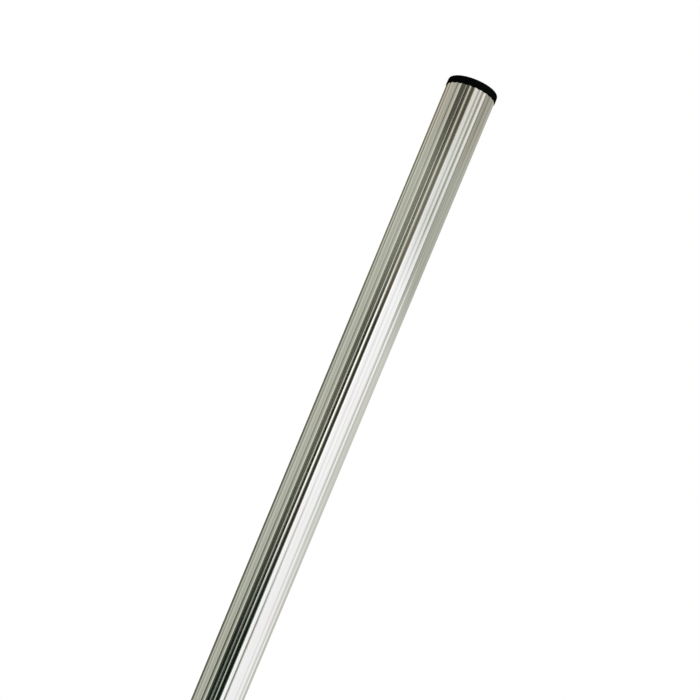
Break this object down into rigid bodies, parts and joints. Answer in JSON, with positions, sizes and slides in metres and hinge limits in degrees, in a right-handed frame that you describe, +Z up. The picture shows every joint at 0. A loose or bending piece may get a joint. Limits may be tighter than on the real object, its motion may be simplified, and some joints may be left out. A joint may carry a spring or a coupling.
{
  "type": "sectional fluted flagpole",
  "caption": "Straight fluted metal flagpole of plug-together tube sections, with a black moulded cap at the top and at the foot.",
  "frame": {"origin": "centre of the foot cap's flat underside, at ground level", "axes": "+Z up along the pole's axis; a ridge of the tube faces each of +X, -X, +Y and -Y"},
  "size_m": [0.0514, 0.0512, 6.015],
  "materials": {
    "polished_tube": "mirror polished",
    "mill_sleeve": "mill finish",
    "black_cap": "fine moulded satin"
  },
  "bodies": {
    "root": {"lower_section": "polished_tube", "middle_section": "polished_tube", "upper_section": "polished_tube", "lower_sleeve": "mill_sleeve", "upper_sleeve": "mill_sleeve", "top_cap": "black_cap", "foot_cap": "black_cap"}
  },
  "joints": []
}
